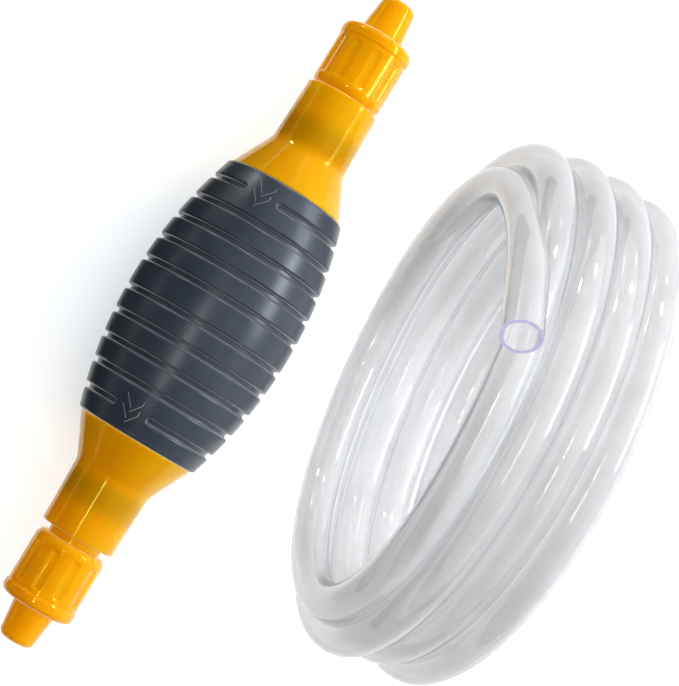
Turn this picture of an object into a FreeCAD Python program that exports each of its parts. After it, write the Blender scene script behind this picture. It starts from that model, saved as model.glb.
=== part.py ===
"""Hand siphon for aquarium and pond water: a ribbed rubber squeeze bulb between two
check-valve housings, each closed by a screwed nut that holds a tapered hose nozzle,
and a loose coil of clear hose standing beside it.

Millimetres, +Z up. The pump lies along X on the middle rib of its bulb, with the inlet at
+X. The origin is under the middle of the pump, on the surface that it lies on.

Each half of the pump is drawn on the X axis, outwards from the middle of the bulb. The
inlet half stays as drawn, and the outlet half is turned half round about Z, which keeps
both threads right-handed.
"""
import FreeCAD, Part
import math
import os

V = FreeCAD.Vector
X_AXIS = V(1, 0, 0)
Z_AXIS = V(0, 0, 1)
CENTRE = V(0, 0, 0)

# Squeeze bulb
BULB_RADIUS = 26.1
BULB_HALF_LENGTH = 42.4
BULB_WALL = 3.0
BULB_EDGE = 1.2             # rounding of its two ends
RIB_GROOVES = 5             # grooves each side of the middle rib
FIRST_GROOVE = 4.9          # from the middle of the bulb
END_BAND = 6.5              # from the outer groove to the bulb's end
GROOVE_WIDTH = 1.7
GROOVE_DEPTH = 1.4
GROOVE_LIP = 0.7            # rounding where a groove meets a rib
GROOVE_FLOOR = 0.4          # rounding in the groove's corners
MARK_AZIMUTH = 26.0         # of the flow marks, from the top towards +Y, degrees
MARK_WINDOW = 26.0          # arc left free of the outer groove at each mark, degrees
MARK_ARM = (3.4, 2.9)       # along and across the bulb
MARK_LINE = 0.8
MARK_HEIGHT = 0.6
MARK_SPACING = 3.2
MARK_INSETS = (2.8, 10.2)   # the leading tip of each pair, from the outlet and the inlet end

# Housings
LIP_WIDTH = 3.0             # bulb lip held in the housing's groove
LIP_CORE_RADIUS = 14.6
LIP_CORE_WALL = 1.4
FLANGE_STEP = 2.0           # of the flange over the lip's core
FLANGE_WIDTH = 2.9
CONE_STEP = 0.77            # of the bulb's end over the cone
CONE_LENGTH = 13.0
NECK_LENGTH = 20.0
NECK_WALL = 2.2
NECK_TAPER = 0.5
NECK_EDGE = 0.7
NECK_FLOOR = 2.8            # wall between the valve bore and the spigot
VALVE_BORE_RADIUS = 9.9
SEAT_STOP_STEP = 1.1        # step that stops the inlet's seat
SPIGOT_RADIUS = 8.4
SPIGOT_WALL = 2.4

# Check valves
SEAT_LENGTH = 6.3
SEAT_OVERLAP = 2.4          # of the disc over the seat's bore
RING_GROOVE_DEPTH = 1.25
RING_GROOVE_WIDTH = 2.0
DISC_THICKNESS = 1.6
DISC_LIFT = 2.5
STEM_RADIUS = 1.2
STEM_LENGTH = 5.4
CAGE_LENGTH = 8.0
CAGE_WALL = 1.15
HUB_RADIUS = 2.6
SPOKE_WIDTH = 1.6
SPOKE_DEPTH = 2.0
SPOKES = 3

# Screwed joint
THREAD_PITCH = 3.0
THREAD_HEIGHT = 0.8
THREAD_CREST = 0.7
THREAD_ROOT = 1.5
THREAD_START = 2.3          # first male ridge, from the neck's end face
THREAD_RUN_OUT = 2.1        # last male ridge to the spigot's end
NUT_LENGTH = 21.3
NUT_WALL = 1.65
NUT_END_WALL = 3.1
NUT_COLLAR_STEP = 0.4
NUT_COLLAR_LENGTH = 4.2
FLUTES = 10
FLUTE_DEPTH = 0.4
FLUTE_CUTTER_RADIUS = 5.5
FLUTE_RUN_OUT = 1.2
NUT_GAP = 0.3               # tight nut to the neck's end face
OUTLET_BACK_OFF = 2.0       # the outlet nut is left this far from tight
NOZZLE_FLOAT_SHARE = 0.5    # share of a nut's travel that its nozzle follows

# Nozzles, washers and gaskets
GASKET_THICKNESS = 1.4
GASKET_WIDTH = 3.15
FLANGE_PLATE = 2.5
WASHER_THICKNESS = 1.0
NOZZLE_SHOULDER = 1.4       # of the flange over the nozzle's body
NOZZLE_ROOT_STEP = 0.25
NOZZLE_TAPER = 1.2          # from the root to the end, on the radius
NOZZLE_REACH = 12.4         # beyond the tight nut
NOZZLE_NOSE = (2.2, 1.6)    # rounding of the nose, along and across
NOZZLE_WALL = 2.5           # at the end

# Hose
HOSE_RADIUS = 5.5
HOSE_BORE_RADIUS = 4.5
COIL_OUTER_RADIUS = 77.0
COIL_INNER_RADIUS = 59.0
COIL_BACK = -26.0           # along the coil's axis, from its middle
COIL_FRONT = 23.0
COIL_MIDDLE = (13.0, -68.0)
COIL_YAW = 6.7              # of the coil's axis from +Y towards -X, degrees
HOSE_END_POINTS = [
    (55.8, -45.2, 30.5),
    (67.0, -43.5, 47.0),
    (72.1, -42.5, 66.1),
    (70.7, -42.1, 85.5),
    (65.2, -41.9, 102.6),
    (57.7, -42.1, 118.2),
    (48.8, -42.4, 132.0),
    (38.6, -43.0, 143.8),
    (28.1, -43.7, 154.4),
]

# Clearances
SLIP = 0.25                 # between pieces that move on each other
SEATED = 0.05               # between faces that rest on each other
THREAD_CLEARANCE = 0.25
FLANGE_GAP = 0.62           # round the flange, inside the bulb
DISC_GAP = 1.1              # round the disc, inside its cage

# Places along the axis, from the middle of the bulb outwards
LIP_INNER = BULB_HALF_LENGTH - LIP_WIDTH
SHOULDER = BULB_HALF_LENGTH + SEATED
NECK_START = SHOULDER + CONE_LENGTH
NECK_END = NECK_START + NECK_LENGTH
VALVE_STOP = NECK_END - NECK_FLOOR
VALVE_MIDDLE = VALVE_STOP - CAGE_LENGTH - SEATED - SEAT_LENGTH / 2
CLAMPED = GASKET_THICKNESS + FLANGE_PLATE + WASHER_THICKNESS + 4 * SEATED
SPIGOT_LENGTH = NUT_GAP + NUT_LENGTH - NUT_END_WALL - CLAMPED
SPIGOT_END = NECK_END + SPIGOT_LENGTH
GASKET_AT = SPIGOT_END + SEATED
NOZZLE_AT = GASKET_AT + GASKET_THICKNESS + SEATED
WASHER_AT = NOZZLE_AT + FLANGE_PLATE + SEATED
NUT_RIM = NECK_END + NUT_GAP
NUT_END = NUT_RIM + NUT_LENGTH
NUT_FLOOR = WASHER_AT + WASHER_THICKNESS + SEATED
NOZZLE_TIP = NUT_END + NOZZLE_REACH
NOZZLE_FLOAT = OUTLET_BACK_OFF * NOZZLE_FLOAT_SHARE
PUMP_AXIS = V(NOZZLE_FLOAT / 2, 0, BULB_RADIUS)
GROOVE_PITCH = (BULB_HALF_LENGTH - END_BAND - FIRST_GROOVE) / (RIB_GROOVES - 1)
MALE_TURNS = (SPIGOT_LENGTH - THREAD_START - THREAD_RUN_OUT) / THREAD_PITCH
FEMALE_TURNS = MALE_TURNS - 0.5

# Radii of pieces that fit each other
FLANGE_RADIUS = LIP_CORE_RADIUS + FLANGE_STEP
MOUTH_RADIUS = LIP_CORE_RADIUS - LIP_CORE_WALL
NECK_RADIUS = VALVE_BORE_RADIUS + NECK_WALL
NECK_END_RADIUS = NECK_RADIUS - NECK_TAPER
INLET_PASSAGE_RADIUS = VALVE_BORE_RADIUS - SEAT_STOP_STEP
DISC_RADIUS = VALVE_BORE_RADIUS - SEATED - CAGE_WALL - DISC_GAP
SEAT_BORE_RADIUS = DISC_RADIUS - SEAT_OVERLAP
CHANNEL_RADIUS = SPIGOT_RADIUS - SPIGOT_WALL
FLOATING_RADIUS = SPIGOT_RADIUS - SEATED
GASKET_BORE_RADIUS = FLOATING_RADIUS - GASKET_WIDTH
NUT_BORE_RADIUS = SPIGOT_RADIUS + THREAD_HEIGHT + THREAD_CLEARANCE
NUT_RADIUS = NUT_BORE_RADIUS + NUT_WALL
NUT_COLLAR_RADIUS = NUT_RADIUS + NUT_COLLAR_STEP
NOZZLE_BODY_RADIUS = FLOATING_RADIUS - NOZZLE_SHOULDER
NOZZLE_ROOT_RADIUS = NOZZLE_BODY_RADIUS - NOZZLE_ROOT_STEP
NOZZLE_END_RADIUS = NOZZLE_ROOT_RADIUS - NOZZLE_TAPER
NOZZLE_BORE_RADIUS = NOZZLE_END_RADIUS - NOZZLE_WALL

# The bulb's outline is an arc through its middle and round the flange that it holds.
BULB_SAG = BULB_RADIUS - BULB_WALL - FLANGE_GAP - FLANGE_RADIUS
BULB_CROWN = (LIP_INNER ** 2 + BULB_SAG ** 2) / (2 * BULB_SAG)

made = {}


def add(node, shape):
    """Keeps a finished solid under its node's name."""
    made[node] = shape


def section(start, *steps):
    """Closed face in the XZ plane. A step is a point, or two points for an arc through the first."""
    here = V(start[0], 0, start[1])
    first = here
    edges = []
    for step in steps:
        if isinstance(step[0], tuple):
            through, end = [V(x, 0, r) for x, r in step]
            edges.append(Part.Arc(here, through, end).toShape())
        else:
            end = V(step[0], 0, step[1])
            edges.append(Part.LineSegment(here, end).toShape())
        here = end
    if (here - first).Length > 1e-6:
        edges.append(Part.LineSegment(here, first).toShape())
    return Part.Face(Part.Wire(edges))


def turned(start, *steps):
    """Solid turned about the X axis from a section."""
    return section(start, *steps).revolve(CENTRE, X_AXIS, 360)


def ring(start, length, inner, outer):
    """Plain ring or tube about the X axis."""
    return turned((start, inner), (start, outer), (start + length, outer), (start + length, inner))


def inlet_half(shape, travel=0.0, angle=0.0):
    """Puts a shape drawn outwards along X in the pump's +X half."""
    placed = shape.copy()
    placed.rotate(CENTRE, X_AXIS, angle)
    placed.translate(PUMP_AXIS + X_AXIS * travel)
    return placed


def outlet_half(shape, travel=0.0, angle=0.0):
    """Puts a shape drawn outwards along X in the pump's -X half."""
    placed = shape.copy()
    placed.rotate(CENTRE, X_AXIS, angle)
    placed.rotate(CENTRE, Z_AXIS, 180)
    placed.translate(PUMP_AXIS - X_AXIS * travel)
    return placed


def barrel_radius(x, grown=0.0):
    """Radius of the bulb's barrel at a distance x from its middle."""
    crown = BULB_CROWN + grown
    return BULB_RADIUS - BULB_CROWN + math.sqrt(crown ** 2 - x ** 2)


def barrel(half_length, grown):
    """Solid barrel that stands out from the bulb's surface by the given amount."""
    end = barrel_radius(half_length, grown)
    middle = barrel_radius(0, grown)
    return turned(
        (-half_length, 0), (-half_length, end), ((0, middle), (half_length, end)), (half_length, 0)
    )


# Squeeze bulb

def groove_section(half):
    """Section of a groove cutter: rounded lips, straight walls and rounded floor corners."""
    wall = GROOVE_WIDTH / 2
    lip = wall + GROOVE_LIP
    bend = math.sqrt(0.5)
    above = 3.0
    right = [
        (lip, above),
        (lip, 0),
        ((lip - GROOVE_LIP * bend, GROOVE_LIP * (bend - 1)), (wall, -GROOVE_LIP)),
        (wall, GROOVE_FLOOR - GROOVE_DEPTH),
        (
            (wall - GROOVE_FLOOR * (1 - bend), GROOVE_FLOOR * (1 - bend) - GROOVE_DEPTH),
            (wall - GROOVE_FLOOR, -GROOVE_DEPTH),
        ),
    ]
    if half:
        return section((0, above), *right, (0, -GROOVE_DEPTH))
    left = [
        (GROOVE_FLOOR - wall, -GROOVE_DEPTH),
        (
            (GROOVE_FLOOR * (1 - bend) - wall, GROOVE_FLOOR * (1 - bend) - GROOVE_DEPTH),
            (-wall, GROOVE_FLOOR - GROOVE_DEPTH),
        ),
        (-wall, -GROOVE_LIP),
        ((GROOVE_LIP * bend - lip, GROOVE_LIP * (bend - 1)), (-lip, 0)),
        (-lip, above),
    ]
    return section((0, above), *right, *left)


def on_barrel(shape, x):
    """Stands a shape drawn on the origin, outwards along Z, on the top of the barrel at x."""
    placed = shape.copy()
    placed.rotate(CENTRE, V(0, 1, 0), math.degrees(math.asin(x / BULB_CROWN)))
    placed.translate(V(x, 0, barrel_radius(x)))
    return placed


def full_groove(x):
    """Cutter for a groove all the way round the bulb."""
    return on_barrel(groove_section(half=False), x).revolve(CENTRE, X_AXIS, 360)


def broken_groove(x):
    """Cutters for a groove that stops short of the flow mark, with rounded ends."""
    end_angle = MARK_WINDOW / 2 + math.degrees((GROOVE_WIDTH / 2 + GROOVE_LIP) / barrel_radius(x))
    face = on_barrel(groove_section(half=False), x)
    face.rotate(CENTRE, X_AXIS, end_angle - MARK_AZIMUTH)
    cutters = [face.revolve(CENTRE, X_AXIS, 360 - 2 * end_angle)]
    button = on_barrel(groove_section(half=True).revolve(CENTRE, Z_AXIS, 360), x)
    for side in (-1, 1):
        end = button.copy()
        end.rotate(CENTRE, X_AXIS, side * end_angle - MARK_AZIMUTH)
        cutters.append(end)
    return cutters


def flow_mark(tip):
    """One raised V on the bulb that points towards the outlet."""
    along, across = MARK_ARM
    lean = math.hypot(along, across)
    step = MARK_LINE * lean / across
    outline = [
        V(tip, 0, 0),
        V(tip + along, across, 0),
        V(tip + along + step, across, 0),
        V(tip + step, 0, 0),
        V(tip + along + step, -across, 0),
        V(tip + along, -across, 0),
    ]
    prism = Part.Face(Part.makePolygon(outline + outline[:1])).extrude(Z_AXIS * (BULB_RADIUS + 2))
    reach = BULB_HALF_LENGTH + 2
    skin = barrel(reach, MARK_HEIGHT).cut(barrel(reach, -BULB_WALL / 3))
    mark = prism.common(skin)
    mark.rotate(CENTRE, X_AXIS, -MARK_AZIMUTH)
    return mark


def squeeze_bulb():
    """Ribbed rubber bulb with an inward lip at each end and two pairs of flow marks."""
    edge_start = BULB_HALF_LENGTH - BULB_EDGE
    edge_radius = barrel_radius(edge_start)
    lip_bore = LIP_CORE_RADIUS + SEATED
    cavity_end = barrel_radius(LIP_INNER) - BULB_WALL
    rounding = BULB_EDGE * (1 - math.sqrt(0.5))
    bulb = turned(
        (-BULB_HALF_LENGTH, lip_bore),
        (-BULB_HALF_LENGTH, edge_radius - BULB_EDGE),
        ((-BULB_HALF_LENGTH + rounding, edge_radius - rounding), (-edge_start, edge_radius)),
        ((0, BULB_RADIUS), (edge_start, edge_radius)),
        (
            (BULB_HALF_LENGTH - rounding, edge_radius - rounding),
            (BULB_HALF_LENGTH, edge_radius - BULB_EDGE),
        ),
        (BULB_HALF_LENGTH, lip_bore),
        (LIP_INNER, lip_bore),
        (LIP_INNER, cavity_end),
        ((0, BULB_RADIUS - BULB_WALL), (-LIP_INNER, cavity_end)),
        (-LIP_INNER, lip_bore),
    )
    cutters = []
    for side in (-1, 1):
        for count in range(RIB_GROOVES - 1):
            cutters.append(full_groove(side * (FIRST_GROOVE + count * GROOVE_PITCH)))
        cutters += broken_groove(side * (FIRST_GROOVE + (RIB_GROOVES - 1) * GROOVE_PITCH))
    bulb = bulb.cut(cutters)
    outlet_inset, inlet_inset = MARK_INSETS
    for first in (outlet_inset - BULB_HALF_LENGTH, BULB_HALF_LENGTH - inlet_inset):
        for count in range(2):
            bulb = bulb.fuse(flow_mark(first + count * MARK_SPACING))
    bulb.translate(PUMP_AXIS)
    return bulb


# Threads

def thread_ridge(start, turns, root_radius, crest_radius):
    """Right-handed helical ridge along X. Its root is sunk into the wall that it stands on."""
    helix = Part.makeHelix(THREAD_PITCH, THREAD_PITCH * turns, root_radius)
    outline = [
        V(root_radius, 0, -THREAD_ROOT / 2),
        V(crest_radius, 0, -THREAD_CREST / 2),
        V(crest_radius, 0, THREAD_CREST / 2),
        V(root_radius, 0, THREAD_ROOT / 2),
    ]
    profile = Part.makePolygon(outline + outline[:1])
    ridge = Part.Wire(helix).makePipeShell([profile], True, True)
    ridge.rotate(CENTRE, V(0, 1, 0), 90)
    ridge.translate(X_AXIS * start)
    return ridge


# Housings

def housing(inlet):
    """Cone, neck and threaded spigot in one moulding, with a stepped bore for its valve."""
    flange_at = LIP_INNER - SEATED - FLANGE_WIDTH
    flange_edge = 0.6
    seat_stop = VALVE_MIDDLE + SEAT_LENGTH / 2 + SEATED
    bore_start = NECK_START - 0.5
    cone_radius = barrel_radius(BULB_HALF_LENGTH) - CONE_STEP
    if inlet:
        bore = [
            (VALVE_STOP, INLET_PASSAGE_RADIUS),
            (seat_stop, INLET_PASSAGE_RADIUS),
            (seat_stop, VALVE_BORE_RADIUS),
        ]
    else:
        bore = [(VALVE_STOP, VALVE_BORE_RADIUS)]
    body = turned(
        (flange_at, MOUTH_RADIUS),
        (flange_at, FLANGE_RADIUS - flange_edge),
        (flange_at + flange_edge, FLANGE_RADIUS),
        (LIP_INNER - SEATED, FLANGE_RADIUS),
        (LIP_INNER - SEATED, LIP_CORE_RADIUS),
        (SHOULDER, LIP_CORE_RADIUS),
        (SHOULDER, cone_radius - 0.3),
        (SHOULDER + 0.3, cone_radius),
        (NECK_START - 1.4, NECK_RADIUS + 0.75),
        ((NECK_START - 0.1, NECK_RADIUS + 0.23), (NECK_START + 1.4, NECK_RADIUS)),
        (NECK_END - NECK_EDGE, NECK_END_RADIUS),
        (
            (NECK_END - 0.2 * NECK_EDGE, NECK_END_RADIUS - 0.2 * NECK_EDGE),
            (NECK_END, NECK_END_RADIUS - NECK_EDGE),
        ),
        (NECK_END, SPIGOT_RADIUS),
        (SPIGOT_END, SPIGOT_RADIUS),
        (SPIGOT_END, CHANNEL_RADIUS),
        (VALVE_STOP, CHANNEL_RADIUS),
        *bore,
        (bore_start, VALVE_BORE_RADIUS),
        (SHOULDER, MOUTH_RADIUS),
    )
    thread = thread_ridge(
        NECK_END + THREAD_START, MALE_TURNS, SPIGOT_RADIUS - 0.3, SPIGOT_RADIUS + THREAD_HEIGHT
    )
    return body.fuse(thread)


# Check valves, drawn from the middle of the seat in the direction of flow

def valve_parts():
    """Seat, sealing ring, disc and cage of one check valve."""
    outer = VALVE_BORE_RADIUS - SEATED
    half = SEAT_LENGTH / 2
    groove = RING_GROOVE_WIDTH / 2
    groove_floor = outer - RING_GROOVE_DEPTH
    lip = 0.3
    seat = turned(
        (-half, SEAT_BORE_RADIUS + 0.8),
        (-half, outer),
        (-groove, outer),
        (-groove, groove_floor),
        (groove, groove_floor),
        (groove, outer),
        (half - lip, outer),
        (half - lip, SEAT_BORE_RADIUS + 1.4),
        (half, SEAT_BORE_RADIUS + 1.0),
        (half, SEAT_BORE_RADIUS + 0.2),
        (half - 0.2, SEAT_BORE_RADIUS),
        (-half + 0.8, SEAT_BORE_RADIUS),
    )
    cord_radius = (VALVE_BORE_RADIUS - groove_floor) / 2 - SEATED / 2
    cord_circle = VALVE_BORE_RADIUS - SEATED / 4 - cord_radius
    seal = Part.makeTorus(cord_circle, cord_radius, CENTRE, X_AXIS)
    disc_at = half + SEATED
    back = disc_at + DISC_THICKNESS
    disc = turned(
        (disc_at, 0),
        (disc_at, DISC_RADIUS - 0.4),
        (disc_at + 0.4, DISC_RADIUS),
        (back - 0.4, DISC_RADIUS),
        (back, DISC_RADIUS - 0.4),
        (back, STEM_RADIUS),
        (back + STEM_LENGTH - 0.4, STEM_RADIUS),
        (back + STEM_LENGTH, STEM_RADIUS - 0.4),
        (back + STEM_LENGTH, 0),
    )
    cage_at = half + SEATED
    cage_end = cage_at + CAGE_LENGTH
    hub_at = back + DISC_LIFT + SLIP
    spokes_at = cage_end - SPOKE_DEPTH
    cage = ring(cage_at, CAGE_LENGTH, outer - CAGE_WALL, outer)
    for count in range(SPOKES):
        spoke = Part.makeBox(
            SPOKE_DEPTH, SPOKE_WIDTH, outer - CAGE_WALL / 2, V(spokes_at, -SPOKE_WIDTH / 2, 0)
        )
        spoke.rotate(CENTRE, X_AXIS, count * 360 / SPOKES)
        cage = cage.fuse(spoke)
    hub = ring(hub_at, cage_end - hub_at, 0, HUB_RADIUS)
    cage = cage.fuse(hub).cut(
        ring(hub_at - 1, CAGE_LENGTH, 0, STEM_RADIUS + SLIP)
    )
    return {"valve_seat": seat, "seat_seal": seal, "valve_disc": disc, "valve_cage": cage}


def place_valve(shape, inlet):
    """The outlet valve opens outwards and the inlet valve opens towards the bulb."""
    placed = shape.copy()
    if inlet:
        placed.rotate(CENTRE, Z_AXIS, 180)
    placed.translate(X_AXIS * VALVE_MIDDLE)
    return inlet_half(placed) if inlet else outlet_half(placed)


# Nuts, nozzles, washers and gaskets

def flute_cutter(start, end):
    """Round bar with tapered ends that cuts one flute of a nut."""
    radius = FLUTE_CUTTER_RADIUS
    small = radius - FLUTE_DEPTH - 0.2
    bar = turned(
        (start, 0), (start, small), (start + FLUTE_RUN_OUT, radius),
        (end - FLUTE_RUN_OUT, radius), (end, small), (end, 0)
    )
    bar.translate(Z_AXIS * (NUT_RADIUS - FLUTE_DEPTH + radius))
    return bar


def nut():
    """Fluted union nut with a round collar at its closed end and an internal thread."""
    hole = NOZZLE_BODY_RADIUS + SLIP
    rim_round = (3.2, 1.3)
    collar_at = NUT_END - NUT_COLLAR_LENGTH
    collar_round = (1.9, 2.0)
    collar_top = NUT_END - collar_round[0]
    body = turned(
        (NUT_RIM, NUT_BORE_RADIUS),
        (NUT_RIM, NUT_RADIUS - rim_round[1]),
        (
            (NUT_RIM + 0.3 * rim_round[0], NUT_RADIUS - 0.29 * rim_round[1]),
            (NUT_RIM + rim_round[0], NUT_RADIUS),
        ),
        (collar_at, NUT_RADIUS),
        (collar_at + 0.7, NUT_COLLAR_RADIUS),
        (collar_top, NUT_COLLAR_RADIUS),
        (
            (NUT_END - 0.29 * collar_round[0], NUT_COLLAR_RADIUS - 0.29 * collar_round[1]),
            (NUT_END, NUT_COLLAR_RADIUS - collar_round[1]),
        ),
        (NUT_END, hole + 0.4),
        (NUT_END - 0.4, hole),
        (NUT_FLOOR, hole),
        (NUT_FLOOR, NUT_BORE_RADIUS),
    )
    flutes = []
    for count in range(FLUTES):
        bar = flute_cutter(NUT_RIM + rim_round[0] - 0.6, collar_at - 0.6)
        bar.rotate(CENTRE, X_AXIS, count * 360 / FLUTES)
        flutes.append(bar)
    half_pitch = THREAD_PITCH / 2
    thread = thread_ridge(
        NECK_END + THREAD_START + half_pitch,
        FEMALE_TURNS,
        NUT_BORE_RADIUS + 0.3,
        SPIGOT_RADIUS + THREAD_CLEARANCE,
    )
    return body.cut(flutes).fuse(thread)


def nozzle():
    """Tapered hose tail with a flat flange that the nut clamps."""
    along, across = NOZZLE_NOSE
    nose = NOZZLE_TIP - along
    return turned(
        (NOZZLE_AT, NOZZLE_BORE_RADIUS),
        (NOZZLE_AT, FLOATING_RADIUS),
        (NOZZLE_AT + FLANGE_PLATE, FLOATING_RADIUS),
        (NOZZLE_AT + FLANGE_PLATE, NOZZLE_BODY_RADIUS),
        (NUT_END - 0.2, NOZZLE_BODY_RADIUS),
        (NUT_END + 0.4, NOZZLE_ROOT_RADIUS),
        (nose, NOZZLE_END_RADIUS),
        (
            (nose + 0.71 * along, NOZZLE_END_RADIUS - 0.33 * across),
            (NOZZLE_TIP, NOZZLE_END_RADIUS - across),
        ),
        (NOZZLE_TIP, NOZZLE_BORE_RADIUS + 0.3),
        (NOZZLE_TIP - 0.3, NOZZLE_BORE_RADIUS),
    )


def slip_washer():
    """Thin ring that lets the nut turn without dragging the nozzle round."""
    return ring(WASHER_AT, WASHER_THICKNESS, NOZZLE_BODY_RADIUS + SLIP, FLOATING_RADIUS)


def gasket():
    """Flat rubber ring on the end of the spigot."""
    return ring(GASKET_AT, GASKET_THICKNESS, GASKET_BORE_RADIUS, FLOATING_RADIUS)


# Hose

def hose_coil():
    """Outer shape of the coiled turns, standing on its edge."""
    width = COIL_FRONT - COIL_BACK
    back = V(0, COIL_BACK, 0)
    coil = Part.makeCylinder(COIL_OUTER_RADIUS, width, back, V(0, 1, 0))
    coil = coil.cut(Part.makeCylinder(COIL_INNER_RADIUS, width, back, V(0, 1, 0)))
    coil.rotate(CENTRE, Z_AXIS, COIL_YAW)
    coil.translate(V(COIL_MIDDLE[0], COIL_MIDDLE[1], COIL_OUTER_RADIUS))
    return coil


def route_wire(points):
    """Straight runs joined by tangent arcs, each as large as its two runs allow."""
    edges = []
    radii = []
    here = points[0]
    for before, corner, after in zip(points, points[1:], points[2:]):
        back = (before - corner).normalize()
        ahead = (after - corner).normalize()
        turn = math.pi - back.getAngle(ahead)
        reach = 0.45 * min((corner - before).Length, (after - corner).Length)
        radius = reach / math.tan(turn / 2)
        radii.append(radius)
        enter = corner + back * reach
        leave = corner + ahead * reach
        inward = (back + ahead).normalize()
        through = corner + inward * (radius / math.cos(turn / 2) - radius)
        edges.append(Part.LineSegment(here, enter).toShape())
        edges.append(Part.Arc(enter, through, leave).toShape())
        here = leave
    edges.append(Part.LineSegment(here, points[-1]).toShape())
    print("hose end arc radii, mm:", [round(radius, 1) for radius in radii])
    return Part.Wire(edges)


def hose_end():
    """Hollow tube along the stretch that leaves the coil and ends in a square cut."""
    points = [V(*point) for point in HOSE_END_POINTS]
    wire = route_wire(points)
    heading = (points[1] - points[0]).normalize()
    tubes = []
    for radius in (HOSE_RADIUS, HOSE_BORE_RADIUS):
        circle = Part.Wire(Part.makeCircle(radius, points[0], heading))
        tubes.append(wire.makePipeShell([circle], True, False))
    tube = tubes[0].cut(tubes[1])
    ring_area = math.pi * (HOSE_RADIUS ** 2 - HOSE_BORE_RADIUS ** 2)
    print("hose end volume over section times length:", tube.Volume / (ring_area * wire.Length))
    return tube


def build():
    """Makes every node of the siphon."""
    add("squeeze_bulb", squeeze_bulb())
    valve = valve_parts()
    for end in ("inlet", "outlet"):
        inlet = end == "inlet"
        half = inlet_half if inlet else outlet_half
        back_off = 0.0 if inlet else OUTLET_BACK_OFF
        unscrewed = 360 * back_off / THREAD_PITCH
        add(end + "_housing", half(housing(inlet)))
        for name, shape in valve.items():
            add(end + "_" + name, place_valve(shape, inlet))
        add(end + "_gasket", half(gasket()))
        add(end + "_nozzle", half(nozzle(), back_off * NOZZLE_FLOAT_SHARE))
        add(end + "_slip_washer", half(slip_washer(), back_off))
        add(end + "_nut", half(nut(), back_off, unscrewed))
    add("hose_coil", hose_coil())
    add("hose_end", hose_end())


def save():
    """Writes one STEP file per node and prints what each one holds."""
    os.makedirs("parts", exist_ok=True)
    for node, shape in made.items():
        box = shape.BoundBox
        print(
            f"{node}: {shape.Volume:.0f} mm3, solids {len(shape.Solids)}, valid {shape.isValid()},"
            f" x {box.XMin:.1f} {box.XMax:.1f}, y {box.YMin:.1f} {box.YMax:.1f},"
            f" z {box.ZMin:.1f} {box.ZMax:.1f}"
        )
        shape.exportStep("parts/" + node + ".step")


build()
save()
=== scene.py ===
# %% [markdown]
# # Hand siphon pump with a coil of clear hose
#
# The pump is a ribbed rubber bulb between two amber housings. Each housing ends in a screwed
# nut that holds a tapered nozzle. A loose coil of clear hose stands beside it. The CAD model
# already has every hard piece at its real size, so this lesson loads it as a frame, winds the
# hose, and then spends its effort on materials and light.

# %% Load the frame
import bpy
import math
from mathutils import Matrix, Vector


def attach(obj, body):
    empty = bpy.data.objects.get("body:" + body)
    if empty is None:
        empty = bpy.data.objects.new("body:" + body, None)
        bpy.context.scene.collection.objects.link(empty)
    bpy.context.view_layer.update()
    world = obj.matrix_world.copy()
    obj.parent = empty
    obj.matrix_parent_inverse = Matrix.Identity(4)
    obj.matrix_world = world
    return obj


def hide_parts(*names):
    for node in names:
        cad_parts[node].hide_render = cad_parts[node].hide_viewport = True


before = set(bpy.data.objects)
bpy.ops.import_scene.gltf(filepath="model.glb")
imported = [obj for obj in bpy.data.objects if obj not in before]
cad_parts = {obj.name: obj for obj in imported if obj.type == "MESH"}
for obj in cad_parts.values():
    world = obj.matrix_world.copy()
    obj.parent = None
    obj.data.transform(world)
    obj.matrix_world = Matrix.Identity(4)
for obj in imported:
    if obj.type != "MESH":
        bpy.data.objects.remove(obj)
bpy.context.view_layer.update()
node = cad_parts

# %% [markdown]
# ## Camera
#
# The view looks almost straight down on the pump, from far off and through a long lens, which
# keeps both ends of the pump the same size. A camera looks along its own -Z axis, so its
# rotation is built from three directions: its right, its up, and the way back to it.

# %% Camera
LENS_MM = 104.96
SENSOR_MM = 36.0
NEAREST_SEEN = 0.05

camera_right = Vector((0.5135, -0.8227, 0.2437))
camera_up = Vector((0.8545, 0.5163, -0.0575))
camera_back = camera_right.cross(camera_up)
camera_place = Vector((-0.0331, 0.1051, 0.6072))

bpy.ops.object.select_all(action="DESELECT")
bpy.ops.object.camera_add(location=camera_place)
camera = bpy.context.object
camera.name = "camera"
camera.matrix_world = Matrix.Translation(camera_place) @ Matrix(
    (camera_right, camera_up, camera_back)
).transposed().to_4x4()
camera.data.lens = LENS_MM
camera.data.sensor_width = SENSOR_MM
camera.data.clip_start = NEAREST_SEEN
bpy.context.scene.camera = camera
print("camera at", [round(value, 4) for value in camera_place])

# %% [markdown]
# ## Route of the hose
#
# The hose is one piece of soft clear tube, cut square at both ends. It is wound four and a half
# turns round, and the coil stands on its edge. A real coil that nothing ties is never regular:
# its turns drift sideways and grow and shrink a little. So the route is a spiral whose radius
# and place along the coil's axis are given at each quarter turn, and shared out in between.
# A NURBS spline of order 3 turns those points into one smooth line.

# %% Coil frame
MM = 0.001
COIL_CENTRE = Vector((0.013, -0.068, 0.077))
COIL_YAW = math.radians(6.7)
coil_along = Vector((-math.sin(COIL_YAW), math.cos(COIL_YAW), 0.0))
coil_across = Vector((math.cos(COIL_YAW), math.sin(COIL_YAW), 0.0))


def coil_point(degrees, radius, along):
    """Point of the coil. Angles start at the +X side and go down under the coil first."""
    angle = math.radians(degrees)
    spoke = coil_across * math.cos(angle) - Vector((0, 0, 1)) * math.sin(angle)
    return COIL_CENTRE + (coil_along * along + spoke * radius) * MM

# %% [markdown]
# ## Turns of the coil
#
# Each row below is a quarter turn: its angle, its radius and its place along the coil's axis, in
# millimetres. Equal turns would look like a spring, so the radius and the drift change from row
# to row. After the last turn the hose leaves the coil and rises over it to its cut end, on a few
# points of its own.

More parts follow.
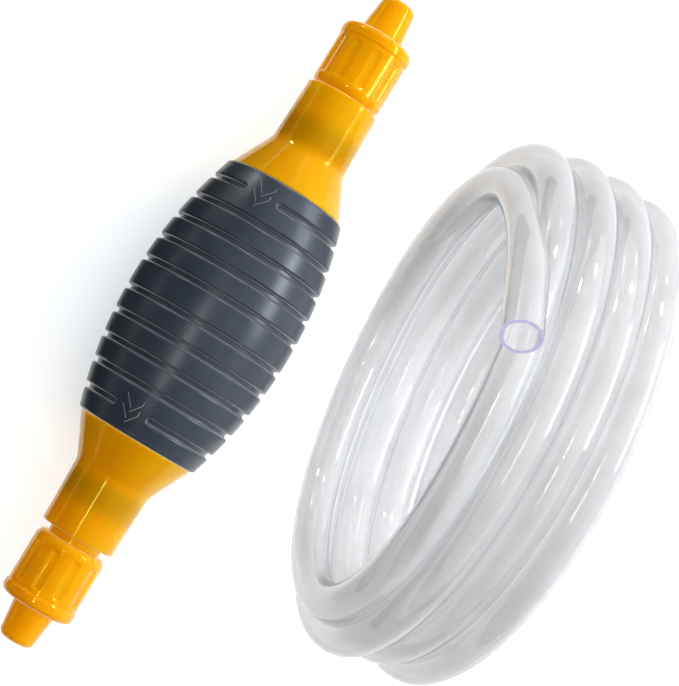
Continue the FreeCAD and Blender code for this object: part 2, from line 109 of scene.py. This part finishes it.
# %% Quarter turns of the coil
FIRST_END = (46.0, 64.6, 17.6)
QUARTERS = [
    (90, 62.5, 17.3), (180, 64.5, 17.3), (270, 66.5, 17.4), (360, 71.5, 13.8),
    (450, 72.0, 12.5), (540, 72.0, 11.5), (630, 72.0, 7.6), (720, 72.4, 2.8),
    (810, 71.0, 1.5), (900, 69.5, 0.6), (990, 71.0, -3.4), (1080, 72.0, -8.2),
    (1170, 72.0, -9.5), (1260, 71.6, -10.0), (1350, 70.2, -13.4), (1440, 70.0, -18.6),
    (1530, 69.0, -20.4), (1620, 64.0, -20.6),
]
POINTS_A_TURN = 20
STEP_ANGLE = 360 / POINTS_A_TURN
LAST_ANGLE = 1584
FREE_END = [
    (55.8, -45.2, 30.5),
    (67.0, -43.5, 47.0),
    (72.1, -42.5, 66.1),
    (70.7, -42.1, 85.5),
    (65.2, -41.9, 102.6),
    (57.7, -42.1, 118.2),
    (48.8, -42.4, 132.0),
    (38.6, -43.0, 143.8),
    (28.1, -43.7, 154.4),
]


def coil_at(degrees):
    """Radius and place along the axis, shared out evenly between two quarter turns."""
    rows = [FIRST_END] + QUARTERS
    for before, after in zip(rows, rows[1:]):
        if degrees <= after[0]:
            share = (degrees - before[0]) / (after[0] - before[0])
            return [a + (b - a) * share for a, b in zip(before[1:], after[1:])]
    return rows[-1][1:]


route = []
angle = FIRST_END[0] + STEP_ANGLE
while angle <= LAST_ANGLE:
    route.append(coil_point(angle, *coil_at(angle)))
    angle += STEP_ANGLE
route.reverse()
route += [Vector(point) * MM for point in FREE_END]
print("hose route:", len(route), "points")

# %% [markdown]
# ## Line of the hose
#
# The curve is used twice. Without a bevel it is only a line, and its points tell how long the
# hose is and where its middle runs. With a bevel of half the diameter it is the tube itself. Both
# come from one helper, so they can't differ. The spline's order is set after its points are
# added, because before that it would fall back to straight runs.

# %% Hose curve
HOSE_DIAMETER = 0.011
HOSE_WALL = 0.001
STEPS_BETWEEN_POINTS = 6
ROUNDNESS = 8


def hose_curve(name, bevel):
    """NURBS curve along the route, with a round section when bevel isn't 0."""
    data = bpy.data.curves.new(name, "CURVE")
    data.dimensions = "3D"
    data.resolution_u = STEPS_BETWEEN_POINTS
    data.bevel_depth = bevel
    data.bevel_resolution = ROUNDNESS
    spline = data.splines.new("NURBS")
    spline.points.add(len(route) - 1)
    for point, place in zip(spline.points, route):
        point.co = (*place, 1.0)
    spline.order_u = 3
    spline.use_endpoint_u = True
    curve = bpy.data.objects.new(name, data)
    bpy.context.scene.collection.objects.link(curve)
    return curve


line = hose_curve("hose_line", 0.0)
bpy.context.view_layer.update()
line_mesh = bpy.data.meshes.new_from_object(line)
bpy.data.objects.remove(line)

# %% [markdown]
# ## Wall of the hose
#
# A clear tube only looks like a tube if light meets both of its surfaces. The curve's round
# section makes the outer surface. Solidify then adds the inner one and closes the two cut ends
# with a flat ring between them. The mesh gets two material slots first, so that Solidify can put
# those rings in the second one. The hose casts no shadow: clear hose lets nearly all light by.

# %% Hollow hose
SMOOTH_ANGLE = math.radians(40)

hose = hose_curve("clear_hose", HOSE_DIAMETER / 2)
bpy.ops.object.select_all(action="DESELECT")
hose.select_set(True)
bpy.context.view_layer.objects.active = hose
bpy.ops.object.convert(target="MESH")
hose = bpy.context.object
hose.name = "clear_hose"
hose.data.materials.append(None)
hose.data.materials.append(None)
wall = hose.modifiers.new("wall", "SOLIDIFY")
wall.thickness = HOSE_WALL
wall.offset = -1.0
wall.use_rim = True
wall.material_offset_rim = 1
bpy.ops.object.modifier_apply(modifier="wall")
bpy.ops.object.shade_smooth_by_angle(angle=SMOOTH_ANGLE)
hose.visible_shadow = False
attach(hose, "hose")
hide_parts("hose_coil", "hose_end")
print("hose triangles:", sum(len(face.vertices) - 2 for face in hose.data.polygons))

# %% [markdown]
# ## Helpers for the finishes
#
# Each finish is a small node tree on Object coordinates, so it stays put on a piece that moves.
# No real plastic or rubber has one flat colour, so every finish starts from a soft noise that
# shifts its colour and its shine a little. These helpers add the nodes that all of them need: the
# noise, a colour ramp, a pair of limits for a value, and a bump.

# %% Material and noise helpers
def new_material(name):
    """Empty material with a Principled shader. Returns the material, its shader and its tree."""
    material = bpy.data.materials.new(name)
    material.use_nodes = True
    tree = material.node_tree
    shader = tree.nodes["Principled BSDF"]
    return material, shader, tree


def object_noise(tree, scale, detail=2.0, roughness=0.5):
    """Noise texture on Object coordinates. Scale is per metre."""
    place = tree.nodes.new("ShaderNodeTexCoord")
    noise = tree.nodes.new("ShaderNodeTexNoise")
    noise.inputs["Scale"].default_value = scale
    noise.inputs["Detail"].default_value = detail
    noise.inputs["Roughness"].default_value = roughness
    tree.links.new(place.outputs["Object"], noise.inputs["Vector"])
    return noise

# %% Colour and value helpers
CLOUD_LOW = 0.3
CLOUD_HIGH = 0.7


def ramp_between(tree, source, stops):
    """Colour ramp on a value. Stops are (position, colour) pairs."""
    ramp = tree.nodes.new("ShaderNodeValToRGB")
    elements = ramp.color_ramp.elements
    while len(elements) < len(stops):
        elements.new(0.5)
    for element, (position, colour) in zip(elements, stops):
        element.position = position
        element.color = (*colour, 1.0)
    tree.links.new(source, ramp.inputs["Fac"])
    return ramp


def cloud_colours(tree, noise, dark, light):
    """Colour that drifts between two shades in soft clouds."""
    return ramp_between(tree, noise.outputs["Fac"], [(CLOUD_LOW, dark), (CLOUD_HIGH, light)])


def value_between(tree, source, low, high):
    """Spreads a 0 to 1 value between two limits."""
    spread = tree.nodes.new("ShaderNodeMapRange")
    spread.inputs["To Min"].default_value = low
    spread.inputs["To Max"].default_value = high
    tree.links.new(source, spread.inputs["Value"])
    return spread


def bump_from(tree, source, strength, distance):
    """Bump that raises the surface by the given height."""
    bump = tree.nodes.new("ShaderNodeBump")
    bump.inputs["Strength"].default_value = strength
    bump.inputs["Distance"].default_value = distance
    tree.links.new(source, bump.inputs["Height"])
    return bump

# %% [markdown]
# ## Bulb rubber
#
# The bulb is thick moulded rubber, slate grey with a satin skin. It could be one dark colour, but
# rubber shows faint clouds, and a fine grain breaks up its highlights. So a wide noise moves the
# colour and the shine together, and a fine one raises a grain of a few hundredths of a
# millimetre.

# %% Bulb rubber
BULB_CLOUDS = 60.0
BULB_GRAIN = 900.0
BULB_GRAIN_HEIGHT = 0.00004
BULB_SHINE = (0.27, 0.36)


def make_bulb_rubber():
    """Slate grey rubber with a satin skin."""
    material, shader, tree = new_material("bulb_rubber")
    mottle = object_noise(tree, BULB_CLOUDS, detail=3.0)
    colour = cloud_colours(tree, mottle, (0.020, 0.027, 0.038), (0.028, 0.037, 0.051))
    tree.links.new(colour.outputs["Color"], shader.inputs["Base Color"])
    grain = object_noise(tree, BULB_GRAIN, detail=2.0)
    shine = value_between(tree, mottle.outputs["Fac"], *BULB_SHINE)
    tree.links.new(shine.outputs["Result"], shader.inputs["Roughness"])
    bump = bump_from(tree, grain.outputs["Fac"], strength=0.25, distance=BULB_GRAIN_HEIGHT)
    tree.links.new(bump.outputs["Normal"], shader.inputs["Normal"])
    shader.inputs["Specular IOR Level"].default_value = 0.5
    return material


bulb_rubber = make_bulb_rubber()
print("finish:", bulb_rubber.name)

# %% [markdown]
# ## Amber plastic
#
# The housings, nuts and nozzles are glossy plastic that lets some light in. Light that enters it
# comes out again nearby, deeper in colour, which is what subsurface does: red goes furthest and
# blue hardly at all. A little transmission adds depth. A check valve sits behind each neck's
# wall, and its shadow is painted into the colour as a duller band of painted shade. That band is
# placed by the distance along the pump, because the pump's axis is X and its middle is at the
# origin. The nuts and nozzles have nothing behind them, so they get a copy of the amber painted
# brighter, as painted light for the light that passes through them, and no band.

# %% Valve band of painted shade
# Start, full, fade and end of the painted shadow of each check valve, in metres from the middle.
VALVE_SHADE_BAND = (0.054, 0.0595, 0.0625, 0.069)


def painted_valve_shade(tree):
    """Value that rises from 0 to 1 in the band of each neck where the check valve's shadow is
    painted.
    """
    place = tree.nodes.new("ShaderNodeTexCoord")
    parts = tree.nodes.new("ShaderNodeSeparateXYZ")
    tree.links.new(place.outputs["Object"], parts.inputs["Vector"])
    along = tree.nodes.new("ShaderNodeMath")
    along.operation = "ABSOLUTE"
    tree.links.new(parts.outputs["X"], along.inputs[0])
    start, full, fade, end = VALVE_SHADE_BAND
    rise = tree.nodes.new("ShaderNodeMapRange")
    fall = tree.nodes.new("ShaderNodeMapRange")
    for spread, low, high in ((rise, start, full), (fall, end, fade)):
        spread.interpolation_type = "SMOOTHSTEP"
        spread.inputs["From Min"].default_value = low
        spread.inputs["From Max"].default_value = high
        tree.links.new(along.outputs["Value"], spread.inputs["Value"])
    both = tree.nodes.new("ShaderNodeMath")
    both.operation = "MULTIPLY"
    tree.links.new(rise.outputs["Result"], both.inputs[0])
    tree.links.new(fall.outputs["Result"], both.inputs[1])
    return both


print("valve band from", VALVE_SHADE_BAND[0], "m to", VALVE_SHADE_BAND[-1], "m of each side")

# %% Amber plastic
# Colour that darkens the amber where the valve's shadow is painted.
VALVE_SHADE_TINT = (0.72, 0.77, 1.0, 1.0)
AMBER_CLOUDS = 45.0
AMBER_RIPPLE = 120.0
AMBER_RIPPLE_HEIGHT = 0.0003
AMBER_SHINE = (0.05, 0.10)
AMBER_SPREAD = (1.0, 0.28, 0.02)
AMBER_DEPTH = 0.006
AMBER_GLINT = (0.80, 0.90, 0.15, 1.0)
PLASTIC_IOR = 1.46


def make_amber(name, deep, light, with_valve_shade=False):
    """Glossy translucent amber plastic. Red light goes deepest into it, so its shade is orange."""
    material, shader, tree = new_material(name)
    cloud = object_noise(tree, AMBER_CLOUDS, detail=2.0)
    colour = cloud_colours(tree, cloud, deep, light)
    shade = colour.outputs["Color"]
    # Painted shade: the valve's shadow multiplied into the housing's colour.
    if with_valve_shade:
        mix = tree.nodes.new("ShaderNodeMix")
        mix.data_type = "RGBA"
        mix.blend_type = "MULTIPLY"
        mix.inputs["B"].default_value = VALVE_SHADE_TINT
        tree.links.new(painted_valve_shade(tree).outputs["Value"], mix.inputs["Factor"])
        tree.links.new(shade, mix.inputs["A"])
        shade = mix.outputs["Result"]
    tree.links.new(shade, shader.inputs["Base Color"])
    ripple = object_noise(tree, AMBER_RIPPLE, detail=1.0)
    bump = bump_from(tree, ripple.outputs["Fac"], strength=0.15, distance=AMBER_RIPPLE_HEIGHT)
    tree.links.new(bump.outputs["Normal"], shader.inputs["Normal"])
    shine = value_between(tree, cloud.outputs["Fac"], *AMBER_SHINE)
    tree.links.new(shine.outputs["Result"], shader.inputs["Roughness"])
    shader.inputs["Transmission Weight"].default_value = 0.25
    shader.inputs["Subsurface Weight"].default_value = 0.9
    shader.inputs["Subsurface Radius"].default_value = AMBER_SPREAD
    shader.inputs["Subsurface Scale"].default_value = AMBER_DEPTH
    shader.inputs["Specular Tint"].default_value = AMBER_GLINT
    shader.inputs["IOR"].default_value = PLASTIC_IOR
    return material


amber = make_amber("amber_housing", (0.70, 0.32, 0.0), (0.70, 0.39, 0.0), with_valve_shade=True)
# Painted light: the same amber with its colour raised, for the light that passes through the nuts
# and nozzles with nothing behind them.
amber_painted_lighter = make_amber("amber_screwed_painted_lighter", (0.76, 0.34, 0.0), (0.76, 0.41, 0.0))
print("amber finishes:", amber.name, amber_painted_lighter.name)

# %% [markdown]
# ## Pieces of the valves
#
# The seats, cages and slip washers are white moulded plastic, and the discs, rings and gaskets
# are soft black rubber. They hide inside the pump and show when a nut is unscrewed, so each gets
# a plain finish with slight clouds and no bump.

# %% Valve plastic
def make_valve_plastic():
    """Plain white moulded plastic."""
    material, shader, tree = new_material("valve_plastic")
    cloud = object_noise(tree, 150.0, detail=2.0)
    colour = cloud_colours(tree, cloud, (0.70, 0.70, 0.66), (0.78, 0.78, 0.74))
    tree.links.new(colour.outputs["Color"], shader.inputs["Base Color"])
    shine = value_between(tree, cloud.outputs["Fac"], low=0.35, high=0.5)
    tree.links.new(shine.outputs["Result"], shader.inputs["Roughness"])
    return material

# %% Valve rubber
def make_valve_rubber():
    """Soft black rubber."""
    material, shader, tree = new_material("valve_rubber")
    cloud = object_noise(tree, 200.0, detail=3.0)
    colour = cloud_colours(tree, cloud, (0.030, 0.028, 0.022), (0.045, 0.042, 0.034))
    tree.links.new(colour.outputs["Color"], shader.inputs["Base Color"])
    shine = value_between(tree, cloud.outputs["Fac"], low=0.5, high=0.65)
    tree.links.new(shine.outputs["Result"], shader.inputs["Roughness"])
    return material


valve_plastic = make_valve_plastic()
valve_rubber = make_valve_rubber()
print("finishes:", valve_plastic.name, valve_rubber.name)

# %% [markdown]
# ## Clear hose
#
# Soft clear PVC is a little milky, and where its wall is seen edge on, more of it lies in the
# way. Transmission alone bends the light but keeps the outline faint, so the darker outline is
# painted shade: Layer Weight's Facing value grows towards the outline of any surface, and it
# darkens the colour there through a ramp. The sawn ends scatter light, so they are duller and
# slightly violet, with a painted glow, a weak emission for the light that the wall carries to
# them.

# %% Clear hose
HOSE_CLOUDS = 80.0
HOSE_SHINE = (0.05, 0.10)
# Painted shade of the outline: Facing value to a factor that darkens the hose's colour.
HOSE_PAINTED_DARK_OUTLINE = [(0.70, (1.0, 1.0, 1.0)), (0.88, (0.28, 0.28, 0.28))]


def make_clear_hose():
    """Clear soft PVC, faintly milky, with a painted dark outline."""
    material, shader, tree = new_material("clear_hose")
    cloud = object_noise(tree, HOSE_CLOUDS, detail=2.0)
    colour = cloud_colours(tree, cloud, (0.69, 0.685, 0.685), (0.73, 0.725, 0.725))
    # Painted shade: the colour is darkened towards the outline that the view sees.
    edge = tree.nodes.new("ShaderNodeLayerWeight")
    edge.inputs["Blend"].default_value = 0.5
    rim = ramp_between(tree, edge.outputs["Facing"], HOSE_PAINTED_DARK_OUTLINE)
    mix = tree.nodes.new("ShaderNodeMix")
    mix.data_type = "RGBA"
    mix.blend_type = "MULTIPLY"
    mix.inputs["Factor"].default_value = 1.0
    tree.links.new(colour.outputs["Color"], mix.inputs["A"])
    tree.links.new(rim.outputs["Color"], mix.inputs["B"])
    tree.links.new(mix.outputs["Result"], shader.inputs["Base Color"])
    shine = value_between(tree, cloud.outputs["Fac"], *HOSE_SHINE)
    tree.links.new(shine.outputs["Result"], shader.inputs["Roughness"])
    shader.inputs["Transmission Weight"].default_value = 0.75
    shader.inputs["IOR"].default_value = PLASTIC_IOR
    return material

# %% Cut ends of the hose
def make_cut_end():
    """Sawn end of the hose wall, which scatters light where the wall is clear, with a painted
    glow.
    """
    material, shader, tree = new_material("cut_end")
    cloud = object_noise(tree, 900.0, detail=2.0)
    colour = cloud_colours(tree, cloud, (0.56, 0.50, 0.74), (0.64, 0.58, 0.80))
    tree.links.new(colour.outputs["Color"], shader.inputs["Base Color"])
    shader.inputs["Roughness"].default_value = 0.45
    # Painted light: a weak violet emission for the light that the wall carries to the cut ends.
    shader.inputs["Emission Color"].default_value = (0.62, 0.54, 0.90, 1.0)
    shader.inputs["Emission Strength"].default_value = 0.12
    return material


hose.data.materials[0] = make_clear_hose()
hose.data.materials[1] = make_cut_end()
print("faces on the cut ends:", sum(face.material_index == 1 for face in hose.data.polygons))

# %% [markdown]
# ## Finishes on the pieces
#
# The last word of a CAD node's name says what kind of piece it is, so one table gives all of them
# their finish. They are kept out of mirror reflections, or the clear hose would be full of orange
# streaks from the pump.

# %% Give each piece its finish
finishes = {
    "bulb": bulb_rubber,
    "housing": amber,
    "nut": amber_painted_lighter,
    "nozzle": amber_painted_lighter,
    "seat": valve_plastic,
    "cage": valve_plastic,
    "washer": valve_plastic,
    "seal": valve_rubber,
    "disc": valve_rubber,
    "gasket": valve_rubber,
}
for name, piece in node.items():
    last_word = name.split("_")[-1]
    if last_word in finishes:
        piece.data.materials.clear()
        piece.data.materials.append(finishes[last_word])
        piece.visible_glossy = False
print("finished nodes:", len(node))

# %% [markdown]
# ## Floor
#
# Everything lies on a plain white floor, wide enough that its edge is far away. It is matt, so
# that the lamps make no bright patches on it.

# %% Floor
FLOOR_SIZE = 8.0

bpy.ops.object.select_all(action="DESELECT")
bpy.ops.mesh.primitive_plane_add(size=FLOOR_SIZE, location=(0.0, 0.0, 0.0))
floor = bpy.context.object
floor.name = "floor"
floor_material, floor_shader, floor_tree = new_material("floor_white")
floor_cloud = object_noise(floor_tree, 0.6, detail=1.0)
floor_colour = cloud_colours(floor_tree, floor_cloud, (0.90, 0.90, 0.90), (0.92, 0.92, 0.92))
floor_tree.links.new(floor_colour.outputs["Color"], floor_shader.inputs["Base Color"])
floor_shader.inputs["Roughness"].default_value = 0.9
floor_shader.inputs["Specular IOR Level"].default_value = 0.1
floor.data.materials.append(floor_material)
print("floor:", FLOOR_SIZE, "m wide")

# %% [markdown]
# ## Sky
#
# A glossy dark piece shows what is around it, so an even sky would wash out the bulb's dark side.
# This one is a colour ramp from dark on one side of the view to white on the other. It is made
# from the direction's share along a fixed line, which a dot product gives.

# %% Sky
SKY_STOPS = [(0.0, (0.04, 0.04, 0.04)), (0.5, (0.16, 0.16, 0.16)), (0.85, (1.0, 1.0, 1.0))]

world = bpy.data.worlds.new("studio")
bpy.context.scene.world = world
world.use_nodes = True
sky = world.node_tree
direction = sky.nodes.new("ShaderNodeTexCoord")
sideways = sky.nodes.new("ShaderNodeVectorMath")
sideways.operation = "DOT_PRODUCT"
sideways.inputs[1].default_value = camera_right
sky.links.new(direction.outputs["Generated"], sideways.inputs[0])
from_left = sky.nodes.new("ShaderNodeMapRange")
from_left.inputs["From Min"].default_value = -1.0
sky.links.new(sideways.outputs["Value"], from_left.inputs["Value"])
sky_ramp = ramp_between(sky, from_left.outputs["Result"], SKY_STOPS)
sky.links.new(sky_ramp.outputs["Color"], sky.nodes["Background"].inputs["Color"])
sky.nodes["Background"].inputs["Strength"].default_value = 1.0
print("sky:", world.name)

# %% [markdown]
# ## Lamps
#
# A wide sun overhead lights the floor and all the upper sides, without a reflection of its own. A
# long soft box on the right gives the bulb its bright flank. A thin strip draws the long fine
# streak on the glossy plastic, and two small boxes catch the edges of the ribs. Only the sun
# casts shadows, so the floor stays white. A lamp looks along its own -Z axis, and a soft box is
# turned so that its long side lies along the pump.

# %% Lamp helpers
LAMP_AIM = Vector((0.0, -0.02, 0.03))


def from_camera(right, up, back):
    """Direction given by its shares to the camera's right, up and back."""
    return (camera_right * right + camera_up * up + camera_back * back).normalized()


def soft_box(name, towards, distance, size, power):
    """Area light that looks at the object from a direction. Its long side follows the pump."""
    along = (Vector((1, 0, 0)) - towards * towards.x).normalized()
    bpy.ops.object.light_add(type="AREA")
    lamp = bpy.context.object
    lamp.name = name
    lamp.matrix_world = Matrix.Translation(LAMP_AIM + towards * distance) @ Matrix(
        (along.cross(towards), along, towards)
    ).transposed().to_4x4()
    lamp.data.shape = "RECTANGLE"
    lamp.data.size, lamp.data.size_y = size
    lamp.data.energy = power
    lamp.data.use_shadow = False
    return lamp


def sun_light(name, towards, strength, angle):
    """Sun that shines from a direction. Its angle softens the edges of its shadows."""
    bpy.ops.object.light_add(type="SUN")
    lamp = bpy.context.object
    lamp.name = name
    lamp.rotation_euler = towards.to_track_quat("Z", "Y").to_euler()
    lamp.data.energy = strength
    lamp.data.angle = math.radians(angle)
    return lamp

# %% Lamps
overhead = sun_light("overhead", from_camera(0.1, 0.0, 1.0), strength=0.95, angle=60.0)
overhead.visible_glossy = False
key = soft_box("key", from_camera(0.95, 0.0, 0.31), distance=1.6, size=(0.30, 1.25), power=18.0)
key.data.color = (0.90, 0.98, 1.05)
soft_box("thin_strip", from_camera(-0.17, 0.0, 0.98), distance=0.9, size=(0.012, 0.5), power=1.2)
soft_box("edge_left", from_camera(-0.25, 0.93, 0.25), distance=0.8, size=(0.05, 0.05), power=0.9)
soft_box("edge_right", from_camera(0.50, 0.80, 0.33), distance=0.8, size=(0.12, 0.05), power=1.1)
lamps = [thing.name for thing in bpy.context.scene.objects if thing.type == "LIGHT"]
print("lamps:", lamps)

# %% [markdown]
# ## Dark card
#
# The far flank of the bulb looks down at the bright floor, which would light it up. A black card
# on the floor there keeps it dark. The card is hidden from the camera, from shadows and from
# clear pieces, and from below it isn't there.

# %% Dark card
CARD_PLACE = (0.0, 0.16, 0.0005)
CARD_SIZE = (0.6, 0.25, 1.0)

bpy.ops.object.select_all(action="DESELECT")
bpy.ops.mesh.primitive_plane_add(size=1.0, location=CARD_PLACE)
card = bpy.context.object
card.name = "dark_card"
card.scale = CARD_SIZE
card_material, card_shader, card_tree = new_material("card_black")
card_shader.inputs["Base Color"].default_value = (0.01, 0.01, 0.01, 1.0)
card_side = card_tree.nodes.new("ShaderNodeNewGeometry")
card_front = value_between(card_tree, card_side.outputs["Backfacing"], low=1.0, high=0.0)
card_tree.links.new(card_front.outputs["Result"], card_shader.inputs["Alpha"])
card.data.materials.append(card_material)
card.visible_camera = False
card.visible_shadow = False
card.visible_transmission = False
print("dark card at", CARD_PLACE)

# %% [markdown]
# ## Colour
#
# The plain "Standard" view keeps the floor white and the amber strong.

# %% Colour management
bpy.context.scene.view_settings.view_transform = "Standard"
bpy.context.scene.view_settings.look = "None"
print("view:", bpy.context.scene.view_settings.view_transform)
